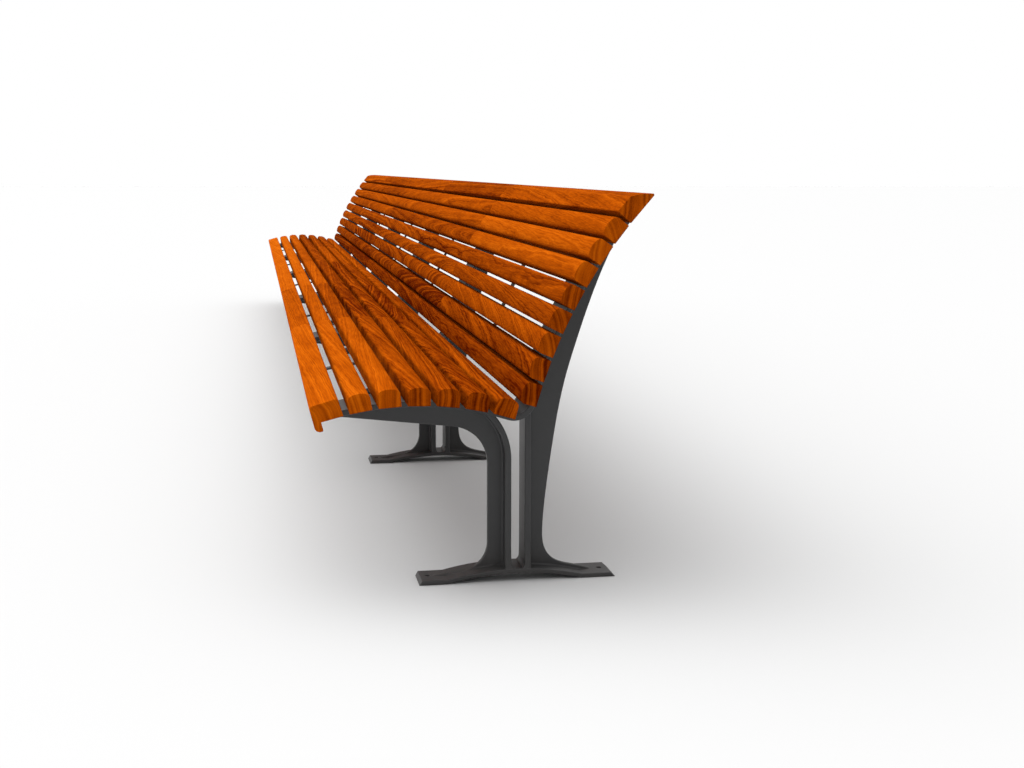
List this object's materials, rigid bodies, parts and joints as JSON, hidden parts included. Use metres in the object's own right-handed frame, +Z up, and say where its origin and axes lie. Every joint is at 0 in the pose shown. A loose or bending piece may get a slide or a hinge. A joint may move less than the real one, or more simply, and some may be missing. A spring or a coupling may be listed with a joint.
{
  "type": "garden bench",
  "caption": "Long slatted public garden bench: curved hardwood seat and back slats on cast T-section support frames with arched feet.",
  "frame": {"origin": "on the ground, at the middle of the bench's bounding box", "axes": "+X along the bench, -Y towards the sitter, +Y behind the backrest, +Z up"},
  "size_m": [6.776, 0.7155, 0.8424],
  "materials": {
    "timber": "oiled orange-red hardwood, satin",
    "casting": "dark grey semi-gloss coating",
    "tie": "dark grey semi-gloss coating",
    "fixing": "plain stainless steel"
  },
  "bodies": {
    "root": {"seat_slat_1": "timber", "seat_slat_2": "timber", "seat_slat_3": "timber", "seat_slat_4": "timber", "seat_slat_5": "timber", "seat_slat_6": "timber", "seat_slat_7": "timber", "back_slat_1": "timber", "back_slat_2": "timber", "back_slat_3": "timber", "back_slat_4": "timber", "back_slat_5": "timber", "back_slat_6": "timber", "back_slat_7": "timber", "back_slat_8": "timber", "back_slat_9": "timber", "support_frame_1": "casting", "support_frame_2": "casting", "support_frame_3": "casting", "support_frame_4": "casting", "support_frame_5": "casting", "support_frame_6": "casting", "seat_tie_1": "tie", "seat_tie_2": "tie", "seat_tie_3": "tie", "seat_tie_4": "tie", "seat_tie_5": "tie", "back_tie_1": "tie", "back_tie_2": "tie", "back_tie_3": "tie", "back_tie_4": "tie", "back_tie_5": "tie", "slat_bolts_1": "fixing", "slat_bolts_2": "fixing", "slat_bolts_3": "fixing", "slat_bolts_4": "fixing", "slat_bolts_5": "fixing", "slat_bolts_6": "fixing", "tie_screws_1": "fixing", "tie_screws_2": "fixing", "tie_screws_3": "fixing", "tie_screws_4": "fixing", "tie_screws_5": "fixing"}
  },
  "joints": []
}
